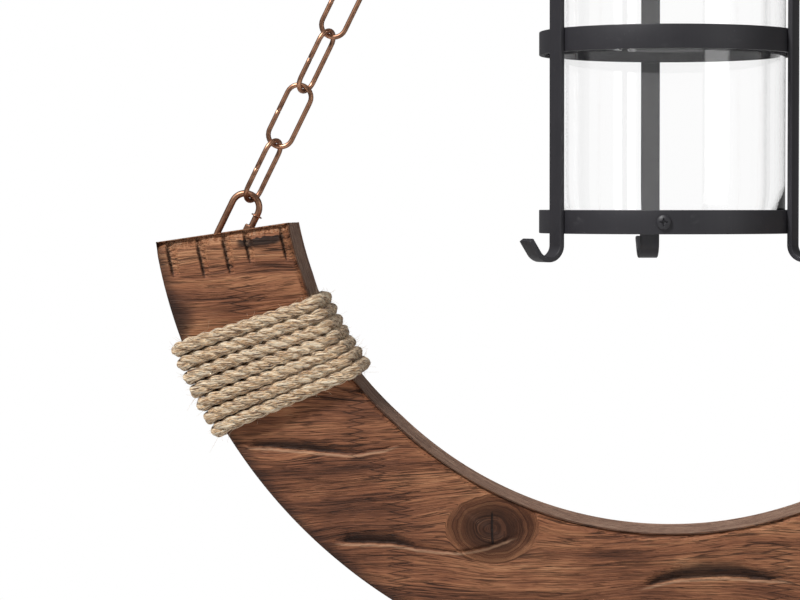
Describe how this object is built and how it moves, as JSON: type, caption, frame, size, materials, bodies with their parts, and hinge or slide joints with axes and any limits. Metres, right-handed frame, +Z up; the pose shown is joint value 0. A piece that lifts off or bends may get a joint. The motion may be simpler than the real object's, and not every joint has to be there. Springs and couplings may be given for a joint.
{
  "type": "wagon wheel chandelier",
  "caption": "Half wagon wheel pendant light: a wooden rim on two chains with rope bindings, and a black metal lantern with a clear glass cylinder in its middle.",
  "frame": {"origin": "on the ceiling, in the middle of the ceiling plate's top face and of its four fixing holes", "axes": "+Z up, out of the ceiling plate's top face; X along the wheel's width, so that the rim lies in the XZ plane; the side seen in the picture is -Y"},
  "size_m": [0.612, 0.1809, 0.8958],
  "materials": {
    "stained_wood": "dark brown stain, hewn edges",
    "jute_rope": "natural jute",
    "black_iron": "satin black powder coat",
    "antique_copper": "antique copper plated wire",
    "plated_steel": "zinc plated",
    "clear_glass": "clear",
    "bulb_glass": "clear",
    "filament": "filament and stem",
    "black_plastic": "matte",
    "ivory_plastic": "matte",
    "brass_parts": "plain brass"
  },
  "bodies": {
    "ceiling": {"ceiling_plate": "plated_steel", "ceiling_hook": "black_iron", "hook_lock_nut": "plated_steel", "canopy": "black_iron", "canopy_nut": "black_iron", "terminal_block": "ivory_plastic", "terminal_screws": "plated_steel", "block_screws": "plated_steel", "earth_screw": "brass_parts", "canopy_bushing": "black_plastic"},
    "ring": {"master_ring": "black_iron"},
    "bridle": {"chain_left": "antique_copper", "chain_right": "antique_copper", "quick_link_left": "antique_copper", "quick_link_right": "antique_copper"},
    "nut_left": {"link_nut_left": "antique_copper"},
    "nut_right": {"link_nut_right": "antique_copper"},
    "wheel": {"screw_eye_left": "plated_steel", "screw_eye_right": "plated_steel", "wheel_rim": "stained_wood", "rope_binding_left": "jute_rope", "rope_binding_right": "jute_rope"},
    "lantern_chain": {"lantern_chain": "antique_copper"},
    "bulb": {"bulb_glass": "bulb_glass", "bulb_cap": "plated_steel", "bulb_contact": "black_plastic", "bulb_filament": "filament"},
    "lantern": {"lantern_loop": "black_iron", "lantern_nipple": "plated_steel", "hub_lock_nut": "plated_steel", "lantern_hub": "black_iron", "lantern_bar_rear": "black_iron", "lantern_bar_left": "black_iron", "lantern_bar_right": "black_iron", "lower_ring": "black_iron", "upper_ring": "black_iron", "top_ring": "black_iron", "hub_screws": "black_iron", "hub_nuts": "black_iron", "glass_screws": "black_iron", "glass_screw_nuts": "black_iron", "glass_cylinder": "clear_glass", "cord_gland": "black_plastic", "gland_nut": "black_plastic", "holder_cap": "black_iron", "holder_body": "black_plastic", "holder_shell": "brass_parts", "holder_contact": "brass_parts"}
  },
  "joints": [
    {"name": "side_swing", "type": "hinge", "parent": "ceiling", "child": "ring", "pos_m": [0, 0, -0.07884], "axis": [0, 1, 0], "range_deg": [-20, 20]},
    {"name": "bridle_swing", "type": "hinge", "parent": "ring", "child": "bridle", "pos_m": [0, 0, -0.11672], "axis": [1, 0, 0], "range_deg": [-20, 20]},
    {"name": "wheel_tilt", "type": "hinge", "parent": "bridle", "child": "wheel", "pos_m": [0, 0, -0.64105], "axis": [1, 0, 0], "range_deg": [-15, 15]},
    {"name": "left_nut_travel", "type": "slide", "parent": "bridle", "child": "nut_left", "axis": [0.4419, 0, 0.8971], "range_m": [0, 0.006]},
    {"name": "right_nut_travel", "type": "slide", "parent": "bridle", "child": "nut_right", "axis": [-0.4419, 0, 0.8971], "range_m": [0, 0.006]},
    {"name": "lantern_swing", "type": "hinge", "parent": "ring", "child": "lantern_chain", "pos_m": [0, 0, -0.11909], "axis": [1, 0, 0], "range_deg": [-25, 25]},
    {"name": "lantern_sway", "type": "hinge", "parent": "lantern_chain", "child": "lantern", "pos_m": [0, 0, -0.30184], "axis": [0, 1, 0], "range_deg": [-15, 15]},
    {"name": "bulb_turn", "type": "hinge", "parent": "lantern", "child": "bulb", "pos_m": [0, 0, -0.39059], "axis": [0, 0, -1], "range_deg": [0, 900]}
  ]
}
